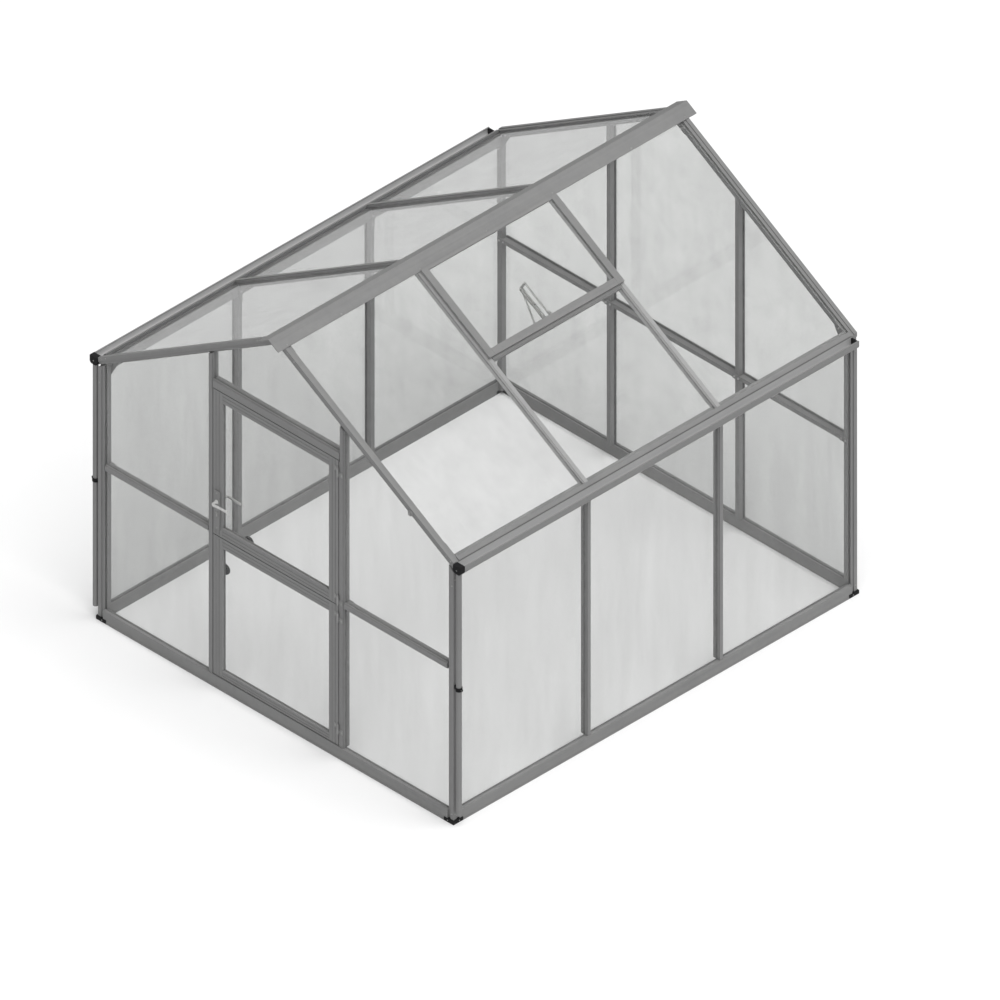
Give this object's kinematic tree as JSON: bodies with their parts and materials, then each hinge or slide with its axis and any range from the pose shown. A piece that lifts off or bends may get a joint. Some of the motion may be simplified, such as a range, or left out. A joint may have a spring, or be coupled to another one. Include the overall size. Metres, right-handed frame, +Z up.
{
  "type": "glass greenhouse",
  "caption": "Gable-roofed glass greenhouse with an aluminium frame of slotted bars, a split hinged door, a roof vent, gutters and downpipes.",
  "frame": {"origin": "on the ground, in the middle of the base", "axes": "+Z up, +Y along the ridge away from the door, +X to the right of someone facing the door"},
  "size_m": [2.8306, 3.1765, 2.54],
  "materials": {
    "mill_aluminium": "satin extruded",
    "clear_glass": "polished",
    "satin_steel": "satin",
    "black_plastic": "moulded"
  },
  "bodies": {
    "frame": {"base_rail_front": "mill_aluminium", "base_rail_rear": "mill_aluminium", "base_rail_left": "mill_aluminium", "base_rail_right": "mill_aluminium", "base_corner_feet": "black_plastic", "corner_posts_front": "mill_aluminium", "corner_posts_rear": "mill_aluminium", "side_bars_left": "mill_aluminium", "side_bars_right": "mill_aluminium", "door_post_left": "mill_aluminium", "door_post_right": "mill_aluminium", "door_head_rail": "mill_aluminium", "rear_posts": "mill_aluminium", "front_mid_rails": "mill_aluminium", "rear_mid_rails": "mill_aluminium", "eaves_beam_left": "mill_aluminium", "eaves_beam_right": "mill_aluminium", "gutter_left": "mill_aluminium", "gutter_right": "mill_aluminium", "gutter_end_caps": "black_plastic", "downpipe_left": "mill_aluminium", "downpipe_right": "mill_aluminium", "downpipe_clips": "black_plastic", "rafters_front": "mill_aluminium", "rafters_rear": "mill_aluminium", "roof_bars_left": "mill_aluminium", "roof_bars_right": "mill_aluminium", "ridge_beam": "mill_aluminium", "vent_sill": "mill_aluminium", "vent_side_rails": "mill_aluminium", "vent_cross_rails": "mill_aluminium", "vent_glass": "clear_glass", "vent_opener": "satin_steel", "gusset_plates": "mill_aluminium", "eaves_brackets": "mill_aluminium", "mid_rail_cleats": "mill_aluminium", "door_holder": "satin_steel", "door_hinge_pins": "satin_steel", "glass_left_wall": "clear_glass", "glass_right_wall": "clear_glass", "glass_front_panels": "clear_glass", "glass_front_gable": "clear_glass", "glass_rear_lower": "clear_glass", "glass_rear_upper": "clear_glass", "glass_roof_left": "clear_glass", "glass_roof_right": "clear_glass"},
    "upper_door": {"upper_door_stiles": "mill_aluminium", "upper_door_rails": "mill_aluminium", "upper_door_glass": "clear_glass", "upper_door_hinges": "satin_steel", "door_handle_plates": "satin_steel", "upper_door_knob": "black_plastic"},
    "lower_door": {"lower_door_stiles": "mill_aluminium", "lower_door_rails": "mill_aluminium", "lower_door_glass": "clear_glass", "lower_door_hinges": "satin_steel", "lower_door_knob": "black_plastic"},
    "lever": {"door_lever": "satin_steel"}
  },
  "joints": [
    {"name": "upper_door_hinge", "type": "hinge", "parent": "frame", "child": "upper_door", "pos_m": [0.48025, -1.54, 1.4], "axis": [0, 0, 1], "range_deg": [0, 110]},
    {"name": "lower_door_hinge", "type": "hinge", "parent": "frame", "child": "lower_door", "pos_m": [0.48025, -1.54, 0.5], "axis": [0, 0, 1], "range_deg": [0, 110]},
    {"name": "lever_turn", "type": "hinge", "parent": "upper_door", "child": "lever", "pos_m": [-0.4415, -1.519, 1.23], "axis": [0, 1, 0], "range_deg": [0, 40], "stiffness_Nm_per_rad": 2, "springref_deg": -17.19}
  ]
}
